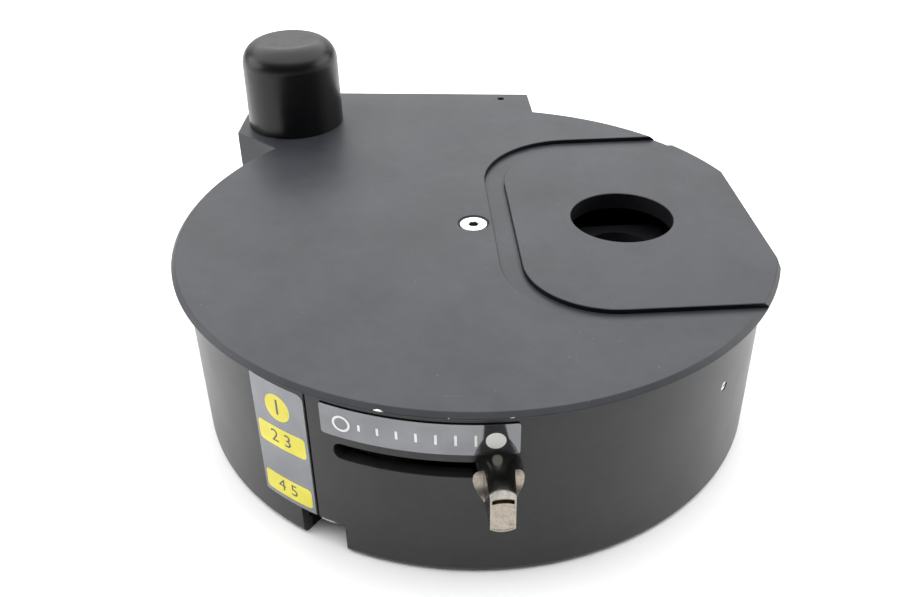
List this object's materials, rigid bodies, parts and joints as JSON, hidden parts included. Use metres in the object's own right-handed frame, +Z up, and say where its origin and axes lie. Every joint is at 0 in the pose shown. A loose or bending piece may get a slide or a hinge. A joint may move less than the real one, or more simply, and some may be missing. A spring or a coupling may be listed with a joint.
{
  "type": "optical filter wheel",
  "caption": "Motorised filter wheel: flat round black housing with a cube carousel, light path bores, a side shutter lever and a domed motor cap.",
  "frame": {"origin": "on the carousel's axis, in the plane of the housing's base face", "axes": "+Z up, out of the top plate; +X from the carousel's axis through the vertical light path and out of the excitation port; +Y towards the drive housing"},
  "size_m": [0.1963, 0.2389, 0.0988],
  "materials": {
    "aluminium": "machined",
    "bearing_steel": "ground",
    "black_anodised": "fine bead-blasted, black anodised",
    "black_sheet": "matt black sheet",
    "board": "solder mask",
    "brass": "hobbed",
    "bright_steel": "bright zinc",
    "cap_plastic": "satin black moulding",
    "connector_metal": "nickel-plated",
    "gear_plastic": "moulded acetal",
    "glass_amber": "interference filter",
    "glass_blue": "interference filter",
    "glass_green": "interference filter",
    "glass_red": "interference filter",
    "glass_violet": "interference filter",
    "knob_nickel": "worn black-nickel plating",
    "magnet_nickel": "nickel-plated",
    "mirror_glass": "dichroic coating",
    "motor_metal": "satin",
    "steel": "machined"
  },
  "bodies": {
    "housing": {"top_plate": "black_anodised", "skirt_wall": "black_anodised", "base_plate": "black_anodised", "drive_housing": "black_anodised", "motor_cap": "cap_plastic", "cover_keepers": "steel", "cover_stop": "steel", "centre_screw": "bright_steel", "centre_post": "steel", "post_screws": "steel", "base_screws": "steel", "housing_screws": "steel", "bearing_inner_rings": "bearing_steel", "spacer_sleeve": "aluminium", "top_spacer": "aluminium", "idler_pin": "steel", "idler_washer": "gear_plastic", "gearhead": "motor_metal", "gearhead_screws": "steel", "drive_motor": "motor_metal", "motor_bracket": "aluminium", "bracket_screws": "steel", "drive_connector": "connector_metal", "sensor_board": "board", "detent_screw": "bright_steel"},
    "carousel": {"carousel_disc": "black_anodised", "ring_gear": "gear_plastic", "carousel_screws": "steel", "index_magnets": "magnet_nickel", "cube_guides": "black_anodised", "bearing_outer_rings": "bearing_steel", "dichroic_mirrors": "mirror_glass", "filter_cube_1": "black_anodised", "exciter_filter_1": "glass_violet", "emission_filter_1": "glass_blue", "filter_cube_2": "black_anodised", "exciter_filter_2": "glass_blue", "emission_filter_2": "glass_green", "filter_cube_3": "black_anodised", "exciter_filter_3": "glass_green", "emission_filter_3": "glass_amber", "filter_cube_4": "black_anodised", "exciter_filter_4": "glass_amber", "emission_filter_4": "glass_red", "filter_cube_5": "black_anodised", "exciter_filter_5": "glass_red", "emission_filter_5": "glass_violet"},
    "idler": {"idler_gear": "gear_plastic"},
    "drive_pinion": {"pinion": "brass", "output_shaft": "steel"},
    "shutter": {"shutter_frame": "black_sheet", "shutter_blade": "black_sheet", "lever_stem": "steel", "shutter_knob": "knob_nickel"},
    "cover": {"access_cover": "black_anodised", "cover_magnets": "magnet_nickel"}
  },
  "joints": [
    {"name": "carousel_spin", "type": "hinge", "parent": "housing", "child": "carousel", "pos_m": [0, 0, 0.013], "axis": [0, 0, 1], "continuous": true},
    {"name": "idler_spin", "type": "hinge", "parent": "housing", "child": "idler", "pos_m": [-0.05114, 0.07223, 0.0075], "axis": [0, 0, 1], "continuous": true},
    {"name": "pinion_spin", "type": "hinge", "parent": "housing", "child": "drive_pinion", "pos_m": [-0.06761, 0.09549, 0.0075], "axis": [0, 0, 1], "continuous": true},
    {"name": "shutter_swing", "type": "hinge", "parent": "housing", "child": "shutter", "pos_m": [0, 0, 0.0525], "axis": [0, 0, 1], "range_deg": [-26, 0]},
    {"name": "cover_pull", "type": "slide", "parent": "housing", "child": "cover", "axis": [-0.809, -0.5878, 0], "range_m": [0, 0.06]}
  ],
  "couplings": [
    {"joint": "idler_spin", "follows": "carousel_spin", "ratio": -3.9167},
    {"joint": "pinion_spin", "follows": "carousel_spin", "ratio": 6.7143}
  ]
}
